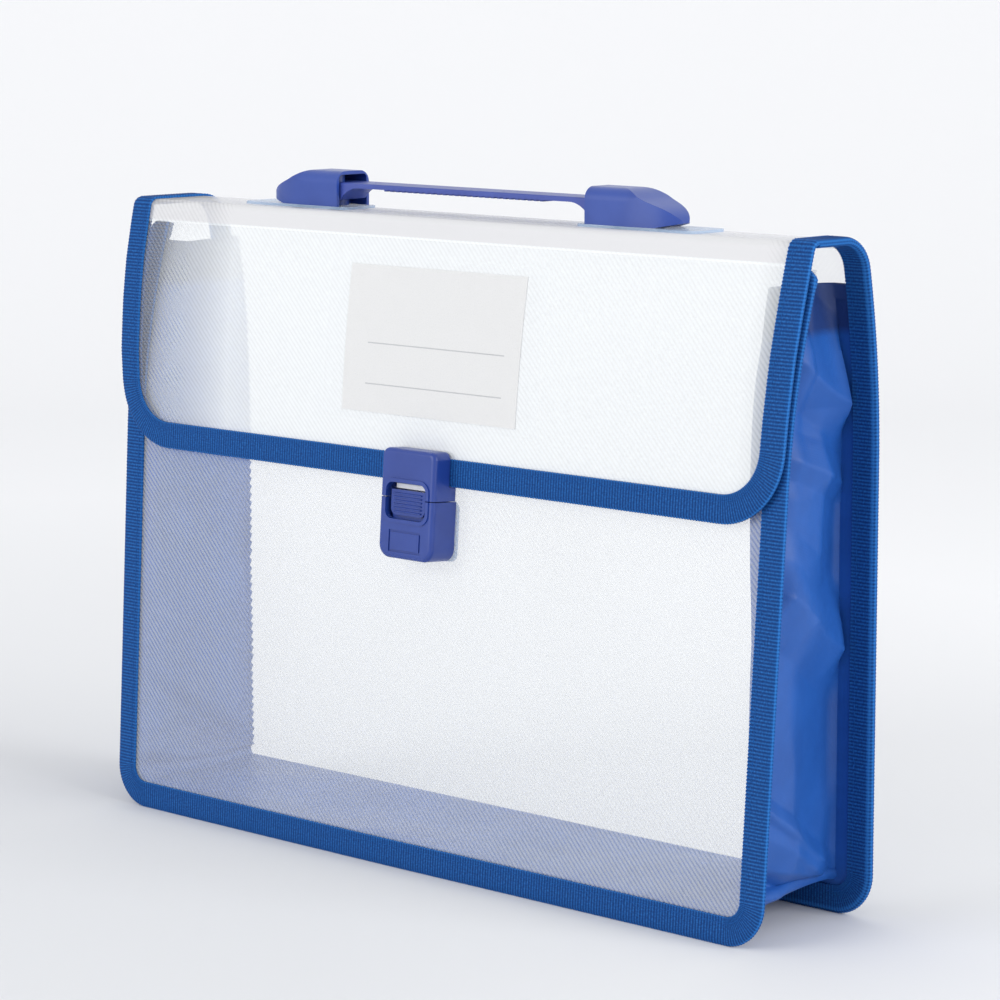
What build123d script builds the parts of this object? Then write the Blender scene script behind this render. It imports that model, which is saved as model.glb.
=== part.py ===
"""Document case: frosted cover folded from one sheet, taped edges, cloth gusset, lock and carrying handle.

+X runs along the width, the front faces -Y and +Z is up. The origin lies on the floor under the middle."""

import os
from math import asin, cos, degrees, radians, sin, tan

from build123d import *

os.makedirs("parts", exist_ok=True)

# Outside size of the closed case, taped edges included, without lock and handle
case_width = 330.0
case_depth = 63.0
case_height = 239.0
front_drop = 10.0
gusset_drop = 17.0

# Sheet, tape and cloth
sheet_ply = 0.8
tape_ply = 0.8
cloth_ply = 0.5
tape_width = 10.0
foot_corner = 16.0
flap_corner = 26.0
soft_gap = 0.3
floor_trim = 5.0

# Side view of the folded cover: back, rear crease, top band, front crease, flap
back_lean = 11.0
back_bow = 350.0
rear_crease = 13.0
front_crease = 3.0
flap_drop = 96.0
flap_top_lean = 10.0
flap_bow = 760.0
flap_standoff = 3.3
crease_slit = 0.3

# Side view of the front panel: a straight leg that leans back, then a bow towards the mouth
panel_lean = 4.2
panel_rise = 79.0
panel_bow = 340.0

# Lock, measured on the front panel: across, up from the split line, and out
hasp_drop = 5.8
lock_width = 27.0
lock_depth = 12.0
lock_wall = 1.5
lock_face = 1.8
lock_rim = 0.5
lock_edge = 1.8
body_height = 22.0
body_corner = 5.0
hasp_height = 18.0
hasp_corner = 3.0
split_gap = 0.4
window_width = 20.0
window_corner = 3.0
window_below = 7.5
window_above = 5.8
cavity_height = 17.0
rim_width = 1.4
field_width = 16.0
field_height = 8.0
field_v = -15.5
field_line = 0.8
field_groove = 0.4
prong_length = 10.5
prong_depth = 5.0
prong_bar = 2.2
prong_gap = 0.35
tail_width = 10.0
spring_width = 8.0
spring_ply = 0.4
press_travel = 2.2
press_gap = 0.4
pad_width = 17.0
pad_above = 3.1
pad_below = 6.1
pad_proud = 1.0
pad_ribs = 6
pad_rib = 0.5
pad_rib_taper = 20.0
plate_ply = 1.2
lip_width = 16.0
lip_front = 9.0
rivet_shank = 2.6
rivet_head = 5.0
rivet_grip = 5.0
rivet_taper = 45.0

# Handle
handle_span = 204.0
handle_y = 3.8
mount_length = 40.0
mount_width = 17.0
mount_height = 13.1
mount_wall = 1.3
mount_flat = 15.0
mount_round = 4.5
nose_lift = 1.8
nose_length = 22.0
nose_steepness = 1.6
brow_reach = 26.0
brow_height = 9.6
chin_length = 9.0
nose_rivet = 12.0
pocket_depth = 18.5
pocket_inner = 14.4
pocket_round = 1.5
handle_head = 7.0
handle_head_ply = 1.2
base_length = 55.0
base_width = 18.0
base_corner = 3.0
base_margin = 4.5
base_ply = 1.0
strap_width = 13.0
strap_ply = 1.8
strap_round = 0.8
strap_lift = 2.4
head_height = 6.4
head_reach = 17.0
flare_reach = 9.0
post_inset = 8.0
post_width = 5.4
collar_width = 8.6
slot_length = 12.0
slot_width = 6.2
grip_ribs = 27
grip_pitch = 3.0
grip_rib = 0.6

# Label in its clear pocket on the flap
label_width = 87.0
label_height = 53.5
label_drop = 19.0
label_ply = 0.3
label_gap = 0.05
pocket_width = 107.0
pocket_height = 60.0
pocket_drop = 15.5
pocket_film = 0.2
pocket_weld = 2.0

# Places worked out from the sizes above
front_height = case_height - front_drop
gusset_height = case_height - gusset_drop
panel_leg = front_height - panel_rise
flap_bottom = case_height - flap_drop
lock_split = flap_bottom - hasp_drop
label_bottom = case_height - label_drop - label_height
pocket_bottom = case_height - pocket_drop - pocket_height
lean = radians(panel_lean)
lock_reach = lock_depth * cos(lean) + body_height * sin(lean) - lock_split * tan(lean) - tape_ply
front_y = (lock_reach - case_depth) / 2 + tape_ply
back_y = (lock_reach + case_depth) / 2 - tape_ply
sheet_top = case_height - tape_ply
sheet_width = case_width - 2 * tape_ply
inner_face = -sheet_ply
tape_inside = inner_face - tape_ply

rear_z = sheet_top - rear_crease
rear_y = back_y - back_bow + (back_bow - rear_crease) * cos(radians(back_lean))
bow_z = rear_z - (back_bow - rear_crease) * sin(radians(back_lean))
rear_split = (back_lean + 90) / 2
rear_slit = degrees(crease_slit / 2 / rear_crease)

leg_normal = 180 - panel_lean
top_normal = 180 - flap_top_lean
crease_z = sheet_top - front_crease
bow_run = (flap_bow - front_crease) * cos(radians(leg_normal - top_normal))
crease_y = front_y + (flap_standoff - flap_bow + bow_run - crease_z * sin(lean)) / -cos(lean)
flap_bow_y = crease_y - (flap_bow - front_crease) * cos(radians(top_normal))
flap_bow_z = crease_z - (flap_bow - front_crease) * sin(radians(top_normal))
front_split = (90 + top_normal) / 2
front_slit = degrees(crease_slit / 2 / front_crease)

panel_bow_y = front_y + panel_leg * tan(lean) + panel_bow * cos(lean)
panel_bow_z = panel_leg - panel_bow * sin(lean)
mouth_normal = 180 - degrees(asin((front_height - panel_bow_z) / panel_bow))

film_inside = label_ply + 2 * label_gap
cavity_width = pocket_width - 2 * pocket_weld

# Lock: its plane lies on the front panel's outer face, with the split line as its X axis
lock_y = front_y + lock_split * tan(lean)
lock_plane = Plane(origin=(0, lock_y, lock_split), x_dir=(1, 0, 0), z_dir=(0, -cos(lean), sin(lean)))
lock_out = Axis(lock_plane.origin, lock_plane.z_dir)
lock_up = Axis(lock_plane.origin, lock_plane.y_dir)
spring_plane = Plane(origin=lock_plane.origin, x_dir=lock_plane.y_dir, z_dir=(1, 0, 0))
face_inside = lock_depth - lock_face
cavity_half = lock_width / 2 - lock_wall
body_back = inner_face - plate_ply
panel_clear = 2 * soft_gap
flap_edge = (flap_bottom - lock_split) / cos(lean)
flap_face = flap_standoff + tape_ply
hasp_back = flap_standoff + tape_inside - plate_ply
hasp_front = hasp_back + plate_ply
lip_low = pad_above + press_gap
lip_high = flap_edge - 2 * soft_gap
lock_rivet_x = lock_width / 2 - body_corner - rivet_shank / 2
body_rivet_v = -(cavity_height + body_height) / 2
hasp_rivet_v = (window_above + hasp_height) / 2

# Lock: prongs and cross bar of the hasp, the pad that catches the bar, and its spring
prong_half = cavity_half - prong_gap
prong_front = face_inside - prong_gap
prong_back = prong_front - prong_depth
bar_high = prong_bar - prong_length
bar_back = prong_front - press_travel + soft_gap
catch_low = bar_high + soft_gap
pad_middle = (pad_above - pad_below) / 2
pad_front = lock_depth - pad_proud
rib_pitch = (pad_above + pad_below) / (pad_ribs + 1)
tail_front = bar_back - soft_gap
tail_low = press_gap - cavity_height
spring_low = tail_low + press_gap
spring_high = -press_gap
spring_middle = (spring_low + spring_high) / 2
spring_top = prong_back - soft_gap

# Handle: places along the band, and heights above it
nose_x = handle_span / 2
mouth_x = nose_x - mount_length
nose_from = nose_x - nose_length
post_x = mouth_x + post_inset
head_x = mouth_x + head_reach
base_top = sheet_top + base_ply
pocket_top = base_top + mount_height - mount_wall
strap_top = pocket_top - strap_lift - press_gap
strap_under = strap_top - strap_ply
head_bottom = strap_top - head_height
nose_rivet_x = nose_x - nose_rivet
handle_rivet_spots = [(side * x, handle_y) for side in (-1, 1) for x in (post_x, nose_rivet_x)]
handle_plane = Plane.XZ.offset(-handle_y)
mount_top = base_top + mount_height


def back_line(gap):
    """Side view of the back panel up to the rear crease, gap outside its outer face."""
    leg = Line((back_y + gap, -floor_trim), (back_y + gap, bow_z))
    CenterArc((back_y - back_bow, bow_z), back_bow + gap, 0, back_lean)
    turn = rear_split - rear_slit - back_lean
    crease = CenterArc((rear_y, rear_z), rear_crease + gap, back_lean, turn)
    return leg @ 0, crease @ 1


def band_line(gap):
    """Side view of the top band between the two creases."""
    start = rear_split + rear_slit
    rear = CenterArc((rear_y, rear_z), rear_crease + gap, start, 90 - start)
    Line((rear_y, sheet_top + gap), (crease_y, sheet_top + gap))
    turn = front_split - front_slit - 90
    front = CenterArc((crease_y, crease_z), front_crease + gap, 90, turn)
    return rear @ 0, front @ 1


def flap_line(gap):
    """Side view of the flap: half the front crease, a slow bow and a straight foot."""
    start = front_split + front_slit
    crease = CenterArc((crease_y, crease_z), front_crease + gap, start, top_normal - start)
    turn = leg_normal - top_normal
    bow = CenterArc((flap_bow_y, flap_bow_z), flap_bow + gap, top_normal, turn)
    top = bow @ 1
    foot_z = flap_bottom - floor_trim
    leg = Line(top, (top.X - (top.Y - foot_z) * tan(lean), foot_z))
    return crease @ 0, leg @ 1


def front_line(gap):
    """Side view of the front panel, from the floor to its free upper edge."""
    out = gap / cos(lean)
    top = (front_y + panel_leg * tan(lean) - gap * cos(lean), panel_leg + gap * sin(lean))
    foot = (front_y - out - floor_trim * tan(lean), -floor_trim)
    leg = Line(foot, top)
    bow = CenterArc((panel_bow_y, panel_bow_z), panel_bow + gap, leg_normal, mouth_normal - leg_normal)
    return leg @ 0, bow @ 1


def layer(line, near, far, start=-case_width / 2, width=case_width, mode=Mode.ADD):
    """Fills the strip between two offsets of a side view and runs it along X."""
    with BuildSketch(Plane.YZ.offset(start)) as strip:
        with BuildLine():
            near_start, near_end = line(near)
            far_start, far_end = line(far)
            Line(near_start, far_start)
            Line(near_end, far_end)
        make_face()
    extrude(strip.sketch, amount=width, mode=mode)


def keep_outline(bottom, corner, inset, mode=Mode.INTERSECT):
    """Keeps, or cuts away, what lies inside a panel's outline: straight sides, two round lower corners."""
    width = case_width - 2 * inset
    height = case_height + floor_trim - bottom - inset
    with BuildSketch(Plane.XZ) as outline:
        with Locations((0, bottom + inset + height / 2)):
            Rectangle(width, height)
        fillet(outline.vertices().group_by(Axis.Y)[0], radius=corner - inset)
    extrude(outline.sketch, amount=case_width, both=True, mode=mode)


def finish(part, name):
    """Names a finished piece and writes it."""
    part.label = name
    export_step(part, f"parts/{name}.step")


# Cover panels: the back, the top band and the flap are one sheet, scored at the two creases
with BuildPart() as back_panel:
    layer(back_line, inner_face, 0)
    keep_outline(0, foot_corner, tape_ply)

with BuildPart() as top_band:
    layer(band_line, inner_face, 0, start=-sheet_width / 2, width=sheet_width)

with BuildPart() as flap:
    layer(flap_line, inner_face, 0)
    keep_outline(flap_bottom, flap_corner, tape_ply)

with BuildPart() as front_panel:
    layer(front_line, inner_face, 0)
    keep_outline(0, foot_corner, tape_ply)

# Gusset: one strip of coated cloth down the left side, under the papers and up the right side.
# Its rear edge turns outward behind the tape, and its front edge ends just behind the front tape.
with BuildPart() as gusset:
    with BuildSketch(Plane.YZ.offset(-case_width / 2)) as side:
        with BuildLine():
            foot_front, mouth_front = front_line(tape_inside - soft_gap)
            foot_back, mouth_back = back_line(inner_face)
            Line(foot_front, foot_back)
            Line(mouth_front, mouth_back)
        make_face()
    extrude(side.sketch, amount=case_width)
    keep_outline(0, foot_corner, tape_width)
    keep_outline(0, foot_corner, tape_width + cloth_ply, mode=Mode.SUBTRACT)

with BuildPart() as gusset_flange:
    layer(back_line, inner_face - cloth_ply, inner_face)
    keep_outline(0, foot_corner, tape_ply)
    keep_outline(0, foot_corner, tape_width, mode=Mode.SUBTRACT)

with BuildPart() as gusset_strip:
    add(gusset.part)
    add(gusset_flange.part)
    split(bisect_by=Plane.XY.offset(gusset_height), keep=Keep.BOTTOM)

# Edge tapes: woven tape folded round the sheet's edges, a U section 10 mm deep
with BuildPart() as back_binding:
    layer(back_line, inner_face - cloth_ply - tape_ply, tape_ply)
    keep_outline(0, foot_corner, 0)
    keep_outline(0, foot_corner, tape_width, mode=Mode.SUBTRACT)
    add(back_panel.part, mode=Mode.SUBTRACT)
    add(gusset_flange.part, mode=Mode.SUBTRACT)

with BuildPart() as front_binding:
    layer(front_line, tape_inside, tape_ply)
    keep_outline(0, foot_corner, 0)
    keep_outline(0, foot_corner, tape_width, mode=Mode.SUBTRACT)
    add(front_panel.part, mode=Mode.SUBTRACT)

with BuildPart() as flap_binding:
    layer(flap_line, tape_inside, tape_ply)
    keep_outline(flap_bottom, flap_corner, 0)
    keep_outline(flap_bottom, flap_corner, tape_width, mode=Mode.SUBTRACT)
    add(flap.part, mode=Mode.SUBTRACT)

with BuildPart() as top_binding_left:
    layer(band_line, tape_inside, tape_ply, start=-case_width / 2, width=tape_width)
    add(top_band.part, mode=Mode.SUBTRACT)

with BuildPart() as top_binding_right:
    layer(band_line, tape_inside, tape_ply, start=case_width / 2 - tape_width, width=tape_width)
    add(top_band.part, mode=Mode.SUBTRACT)

# Label: a plain card behind a clear film that is welded to the flap on three sides
with BuildPart() as label_card:
    layer(flap_line, label_gap, label_gap + label_ply, start=-label_width / 2, width=label_width)
    with BuildSketch(Plane.XZ):
        with Locations((0, label_bottom + label_height / 2)):
            Rectangle(label_width, label_height)
    extrude(amount=case_depth, both=True, mode=Mode.INTERSECT)

with BuildPart() as pocket_cavity:
    layer(flap_line, 0, film_inside, start=-cavity_width / 2, width=cavity_width)
    split(bisect_by=Plane.XY.offset(pocket_bottom + pocket_weld), keep=Keep.TOP)

with BuildPart() as label_pocket:
    layer(flap_line, 0, film_inside + pocket_film, start=-pocket_width / 2, width=pocket_width)
    with BuildSketch(Plane.XZ):
        with Locations((0, pocket_bottom + pocket_height / 2)):
            Rectangle(pocket_width, pocket_height)
    extrude(amount=case_depth, both=True, mode=Mode.INTERSECT)
    add(pocket_cavity.part, mode=Mode.SUBTRACT)


def window_outline(margin, mode=Mode.ADD):
    """Round-cornered window that the hasp and the lock body share, grown by a margin."""
    with Locations((0, (window_above - window_below) / 2)):
        height = window_above + window_below + 2 * margin
        RectangleRounded(window_width + 2 * margin, height, window_corner + margin, mode=mode)


def lock_block(width, low, high, back, front, mode=Mode.ADD):
    """Plain block in the lock's plane: centred across, low to high, back to front."""
    with BuildSketch(lock_plane.offset(back)) as block:
        with Locations((0, (low + high) / 2)):
            Rectangle(width, high - low)
    extrude(block.sketch, amount=front - back, mode=mode)


def lock_rivets(v, back, grip):
    """Two flat-headed rivets set from behind at height v: a sunk head in the plate, then a plain shank."""
    spots = [(-lock_rivet_x, v), (lock_rivet_x, v)]
    with BuildSketch(lock_plane.offset(back)) as heads:
        with Locations(*spots):
            Circle(rivet_head / 2)
    extrude(heads.sketch, amount=(rivet_head - rivet_shank) / 2, taper=rivet_taper)
    with BuildSketch(lock_plane.offset(back)) as shanks:
        with Locations(*spots):
            Circle(rivet_shank / 2)
    extrude(shanks.sketch, amount=grip)


# Rivets of the lock fill the holes that they are set in
with BuildPart() as latch_rivets:
    lock_rivets(body_rivet_v, body_back, rivet_grip - body_back)

with BuildPart() as hasp_rivets:
    lock_rivets(hasp_rivet_v, hasp_back, flap_face + rivet_grip - hasp_back)

# Lock body: a moulded shell with a throat for the prongs and a U window for the press pad
with BuildPart() as latch_body:
    with BuildSketch(lock_plane) as body_outline:
        with Locations((0, -body_height / 2)):
            Rectangle(lock_width, body_height)
        fillet(body_outline.vertices().group_by(Axis.Y)[0], radius=body_corner)
    extrude(amount=lock_depth)
    body_face = latch_body.faces().sort_by(lock_out)[-1]
    fillet(body_face.edges().sort_by(lock_up)[:-1], radius=lock_edge)
    with BuildSketch(lock_plane.offset(lock_depth)):
        window_outline(rim_width)
        window_outline(0, mode=Mode.SUBTRACT)
        with Locations((0, lock_width / 2)):
            Rectangle(lock_width, lock_width, mode=Mode.SUBTRACT)
    extrude(amount=lock_rim)
    lock_block(2 * cavity_half, -cavity_height, split_gap, lock_wall, face_inside, mode=Mode.SUBTRACT)
    with BuildSketch(lock_plane.offset(lock_wall)):
        window_outline(0)
    extrude(amount=lock_depth, mode=Mode.SUBTRACT)
    with BuildSketch(lock_plane.offset(lock_depth - field_groove)):
        with Locations((0, field_v)):
            Rectangle(field_width, field_height)
            Rectangle(field_width - 2 * field_line, field_height - 2 * field_line, mode=Mode.SUBTRACT)
    extrude(amount=field_groove, mode=Mode.SUBTRACT)
    add(latch_rivets.part, mode=Mode.SUBTRACT)

with BuildPart() as latch_backplate:
    with BuildSketch(lock_plane.offset(body_back)):
        with Locations((0, -body_height / 2)):
            RectangleRounded(lock_width, body_height, hasp_corner)
    extrude(amount=plate_ply)
    add(latch_rivets.part, mode=Mode.SUBTRACT)

# Hasp: riveted over the flap's taped edge, with two prongs and a cross bar that the pad catches
with BuildPart() as latch_hasp:
    with BuildSketch(lock_plane.offset(flap_face)) as hasp_outline:
        with Locations((0, (split_gap + hasp_height) / 2)):
            Rectangle(lock_width, hasp_height - split_gap)
        fillet(hasp_outline.vertices().group_by(Axis.Y)[-1], radius=hasp_corner)
    extrude(amount=lock_depth - flap_face)
    hasp_face = latch_hasp.faces().sort_by(lock_out)[-1]
    fillet(hasp_face.edges().sort_by(lock_up)[1:], radius=lock_edge)
    lock_block(lock_width, split_gap, flap_edge - soft_gap, panel_clear, flap_face)
    with BuildSketch(lock_plane.offset(lock_depth)):
        window_outline(rim_width)
        with Locations((0, split_gap - lock_width / 2)):
            Rectangle(lock_width, lock_width, mode=Mode.SUBTRACT)
    extrude(amount=lock_rim)
    with BuildSketch(lock_plane):
        window_outline(0)
    extrude(amount=lock_depth + lock_rim, mode=Mode.SUBTRACT)
    lock_block(2 * prong_half, -prong_length, window_above / 2, prong_back, prong_front)
    lock_block(window_width, bar_high, window_above, prong_back, prong_front, mode=Mode.SUBTRACT)
    lock_block(window_width, -prong_length, bar_high, prong_back, bar_back, mode=Mode.SUBTRACT)
    add(hasp_rivets.part, mode=Mode.SUBTRACT)

with BuildPart() as hasp_backplate:
    with BuildSketch(lock_plane.offset(hasp_back)):
        with Locations((0, (flap_edge + hasp_height) / 2)):
            RectangleRounded(lock_width, hasp_height - flap_edge, hasp_corner)
    extrude(amount=plate_ply)
    lock_block(lip_width, lip_low, flap_edge + plate_ply, hasp_back, hasp_front)
    lock_block(lip_width, lip_low, lip_high, hasp_back, lip_front)
    add(hasp_rivets.part, mode=Mode.SUBTRACT)

# Press pad: its lower edge is the catch above the hasp's cross bar, its tail runs down behind the bar
with BuildPart() as latch_button:
    lock_block(pad_width, catch_low, pad_above, prong_back, prong_front)
    lock_block(tail_width, tail_low, catch_low, prong_back, tail_front)
    with BuildSketch(lock_plane.offset(prong_front)) as pad_outline:
        with Locations((0, pad_middle)):
            Rectangle(pad_width, pad_above + pad_below)
        fillet(pad_outline.vertices().group_by(Axis.Y)[0], radius=window_corner - press_gap)
    extrude(amount=pad_front - prong_front)
    with BuildSketch(lock_plane.offset(pad_front)):
        with Locations((0, pad_middle)):
            with GridLocations(0, rib_pitch, 1, pad_ribs):
                Rectangle(pad_width - window_corner, rib_pitch / 2)
    extrude(amount=pad_rib, taper=pad_rib_taper)

# Leaf spring: a bowed strip between the lock body's back wall and the press pad
with BuildPart() as latch_spring:
    with BuildSketch(spring_plane):
        with BuildLine():
            inner_top = (spring_middle, spring_top - spring_ply)
            inner = ThreePointArc((spring_low, lock_wall), inner_top, (spring_high, lock_wall))
            outer_foot = lock_wall + spring_ply
            outer_top = (spring_middle, spring_top)
            outer = ThreePointArc((spring_low, outer_foot), outer_top, (spring_high, outer_foot))
            Line(inner @ 0, outer @ 0)
            Line(inner @ 1, outer @ 1)
        make_face()
    extrude(amount=spring_width / 2, both=True)

# Handle mounts: moulded noses, each with a pocket for the strap's head and a post through its slot
with BuildPart() as handle_rivets:
    with BuildSketch(Plane.XY.offset(sheet_top - sheet_ply)):
        with Locations(*handle_rivet_spots):
            Circle(handle_head / 2)
    extrude(amount=-handle_head_ply)
    with BuildSketch(Plane.XY.offset(sheet_top - sheet_ply)):
        with Locations(*handle_rivet_spots):
            Circle(rivet_shank / 2)
    extrude(amount=sheet_ply + base_ply + rivet_grip)

with BuildPart() as handle_mount_right:
    with BuildSketch(handle_plane):
        with BuildLine():
            Line((mouth_x, base_top), (mouth_x, mount_top))
            roof = Line((mouth_x, mount_top), (mouth_x + mount_flat, mount_top))
            brow = (mouth_x + brow_reach, base_top + brow_height)
            tip = (nose_x, base_top + nose_lift)
            nose = Spline(roof @ 1, brow, tip, tangents=[(1, 0), (1, -nose_steepness)])
            chin = Line(nose @ 1, (nose_x - chin_length, base_top))
            Line(chin @ 1, (mouth_x, base_top))
        make_face()
    extrude(amount=mount_width / 2, both=True)
    with BuildSketch(Plane.YZ.offset(mouth_x)) as mount_section:
        with Locations((handle_y, base_top + mount_height / 2)):
            Rectangle(mount_width, mount_height)
        fillet(mount_section.vertices().group_by(Axis.Y)[-1], radius=mount_round)
    extrude(amount=mount_length, mode=Mode.INTERSECT)
    with BuildSketch(Plane.XY.offset(base_top)):
        with BuildLine():
            half = mount_width / 2
            side_a = Line((mouth_x, handle_y - half), (nose_from, handle_y - half))
            EllipticalCenterArc((nose_from, handle_y), nose_length, half, start_angle=-90, arc_size=180)
            side_b = Line((nose_from, handle_y + half), (mouth_x, handle_y + half))
            Line(side_b @ 1, side_a @ 0)
        make_face()
    extrude(amount=mount_height, mode=Mode.INTERSECT)
    with BuildSketch(Plane.YZ.offset(mouth_x)) as pocket_section:
        with Locations((handle_y, (base_top + pocket_top) / 2)):
            Rectangle(pocket_inner, pocket_top - base_top)
        fillet(pocket_section.vertices().group_by(Axis.Y)[-1], radius=pocket_round)
    extrude(amount=pocket_depth, mode=Mode.SUBTRACT)
    with BuildSketch(Plane.XY.offset(base_top)):
        with Locations((post_x, handle_y)):
            Circle(post_width / 2)
    extrude(amount=pocket_top - base_top)
    with BuildSketch(Plane.XY.offset(base_top)):
        with Locations((post_x, handle_y)):
            Circle(collar_width / 2)
    extrude(amount=head_bottom - soft_gap - base_top)
    add(handle_rivets.part, mode=Mode.SUBTRACT)

with BuildPart() as handle_mount_left:
    mirror(handle_mount_right.part, about=Plane.YZ)

with BuildPart() as handle_base_right:
    with BuildSketch(Plane.XY.offset(sheet_top)):
        with Locations((mouth_x - base_margin + base_length / 2, handle_y)):
            RectangleRounded(base_length, base_width, base_corner)
    extrude(amount=base_ply)
    add(handle_rivets.part, mode=Mode.SUBTRACT)

with BuildPart() as handle_base_left:
    mirror(handle_base_right.part, about=Plane.YZ)

# Strap: a thin springy blade with ribs for the fingers and a deep slotted head at each end
with BuildPart() as handle_strap:
    with BuildSketch(handle_plane):
        with BuildLine():
            Line((0, strap_top), (head_x, strap_top))
            Line((head_x, strap_top), (head_x, head_bottom))
            Line((head_x, head_bottom), (mouth_x, head_bottom))
            TangentArc((mouth_x - flare_reach, strap_under), (mouth_x, head_bottom), tangent=(1, 0))
            Line((mouth_x - flare_reach, strap_under), (0, strap_under))
            mirror(about=Plane.YZ)
        make_face()
    extrude(amount=strap_width / 2, both=True)
    with BuildSketch(Plane.XY.offset(head_bottom)):
        with Locations((-post_x, handle_y), (post_x, handle_y)):
            SlotOverall(slot_length, slot_width)
    extrude(amount=head_height, mode=Mode.SUBTRACT)
    fillet(handle_strap.edges().filter_by(Axis.X).group_by(Axis.Z)[-1], radius=strap_round)
    with BuildSketch(Plane.XY.offset(strap_under)):
        with Locations((0, handle_y)):
            with GridLocations(grip_pitch, 0, grip_ribs, 1):
                Rectangle(grip_pitch / 2, strap_width - 2 * strap_round)
    extrude(amount=-grip_rib)

# Holes for the rivets in the sheets and tapes that they pin together
with BuildPart() as front_panel_drilled:
    add(front_panel.part)
    add(latch_rivets.part, mode=Mode.SUBTRACT)

with BuildPart() as flap_drilled:
    add(flap.part)
    add(hasp_rivets.part, mode=Mode.SUBTRACT)

with BuildPart() as flap_binding_drilled:
    add(flap_binding.part)
    add(hasp_rivets.part, mode=Mode.SUBTRACT)

with BuildPart() as top_band_drilled:
    add(top_band.part)
    add(handle_rivets.part, mode=Mode.SUBTRACT)

finish(back_panel.part, "back_panel")
finish(back_binding.part, "back_binding")
finish(gusset_strip.part, "gusset")
finish(top_band_drilled.part, "top_band")
finish(top_binding_left.part, "top_binding_left")
finish(top_binding_right.part, "top_binding_right")
finish(handle_base_left.part, "handle_base_left")
finish(handle_base_right.part, "handle_base_right")
finish(handle_mount_left.part, "handle_mount_left")
finish(handle_mount_right.part, "handle_mount_right")
finish(handle_rivets.part, "handle_rivets")
finish(handle_strap.part, "handle_strap")
finish(flap_drilled.part, "flap")
finish(flap_binding_drilled.part, "flap_binding")
finish(label_card.part, "label_card")
finish(label_pocket.part, "label_pocket")
finish(latch_hasp.part, "latch_hasp")
finish(hasp_backplate.part, "hasp_backplate")
finish(hasp_rivets.part, "hasp_rivets")
finish(front_panel_drilled.part, "front_panel")
finish(front_binding.part, "front_binding")
finish(latch_body.part, "latch_body")
finish(latch_backplate.part, "latch_backplate")
finish(latch_rivets.part, "latch_rivets")
finish(latch_button.part, "latch_button")
finish(latch_spring.part, "latch_spring")
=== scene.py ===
"""Dresses the document case: frosted sheet, woven edge tape, coated cloth gusset, label, lock and handle."""

from math import cos, pi, radians, sin

import bmesh
import bpy
from mathutils import Matrix, Vector, noise


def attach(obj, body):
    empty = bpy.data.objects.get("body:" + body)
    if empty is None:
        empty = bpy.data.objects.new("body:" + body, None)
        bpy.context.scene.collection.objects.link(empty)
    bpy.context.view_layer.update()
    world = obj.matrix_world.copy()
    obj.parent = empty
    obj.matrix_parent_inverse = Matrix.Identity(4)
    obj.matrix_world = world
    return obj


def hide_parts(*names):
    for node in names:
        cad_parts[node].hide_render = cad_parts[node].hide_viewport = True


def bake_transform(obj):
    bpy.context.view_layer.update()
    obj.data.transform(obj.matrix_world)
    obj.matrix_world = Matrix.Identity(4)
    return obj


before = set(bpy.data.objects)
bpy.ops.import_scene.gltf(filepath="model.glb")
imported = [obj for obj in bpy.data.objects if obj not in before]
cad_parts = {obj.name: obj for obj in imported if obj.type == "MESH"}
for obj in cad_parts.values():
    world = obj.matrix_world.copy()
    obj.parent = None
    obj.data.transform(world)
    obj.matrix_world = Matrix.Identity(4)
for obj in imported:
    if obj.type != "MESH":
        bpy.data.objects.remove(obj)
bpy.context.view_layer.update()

# Cover: one sheet of frosted plastic, rolled with fine slanting ribs, scored twice and folded up the back,
# over the top and down the front. Whatever lies on it is made flat, at (across, along the sheet, out of its
# face), and then takes the sheet's folds.
CASE_WIDTH = 0.330
HALF = CASE_WIDTH / 2
SHEET_PLY = 0.0008
TAPE_PLY = 0.0008
FOOT_CORNER = 0.016
FLAP_CORNER = 0.026
BACK_LEG = 0.160899
BACK_BOW = 0.350
REAR_CREASE = 0.013
BAND = 0.021351
NOSE_CREASE = 0.003
FLAP_BOW = 0.760
# Side view, from where it stands and which way it turns: each run's length, and its radius if it bends.
# The last run goes on straight.
COVER = {
    "foot": (0.032052, 0.0, 0.0),
    "way": 1,
    "runs": [
        (BACK_LEG, None),
        (BACK_BOW * radians(11), BACK_BOW),
        (REAR_CREASE * radians(79), REAR_CREASE),
        (BAND, None),
        (NOSE_CREASE * radians(80), NOSE_CREASE),
        (FLAP_BOW * radians(5.8), FLAP_BOW),
        (0.0, None),
    ],
}
CREASE_FROM = BACK_LEG + BACK_BOW * radians(11)
CREASE_TO = CREASE_FROM + REAR_CREASE * radians(79)
NOSE_FROM = CREASE_TO + BAND
NOSE_TO = NOSE_FROM + NOSE_CREASE * radians(80)
CUT = NOSE_FROM - 0.0005
CUT_GAP = 0.00005
FLAP_FOOT_Z = 0.143


def fold(line, s, n):
    """The (y, z) of a point s along a side view from its foot and n out of the sheet's outer face."""
    y, z, turn = line["foot"]
    turn = radians(turn)
    way = line["way"]
    last = len(line["runs"]) - 1
    for i, (length, radius) in enumerate(line["runs"]):
        part = s if i == last else min(s, length)
        if radius is None:
            y -= way * sin(turn) * part
            z += way * cos(turn) * part
        else:
            y -= radius * cos(turn)
            z -= radius * sin(turn)
            turn += way * part / radius
            y += radius * cos(turn)
            z += radius * sin(turn)
        s -= part
        if s <= 0:
            break
    return y + n * cos(turn), z + n * sin(turn)


def reach(line, height, low, high):
    """How far along a side view a height is reached, between two places on it."""
    rising = fold(line, high, 0)[1] > fold(line, low, 0)[1]
    for _ in range(40):
        middle = (low + high) / 2
        if (fold(line, middle, 0)[1] < height) == rising:
            low = middle
        else:
            high = middle
    return low


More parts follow.
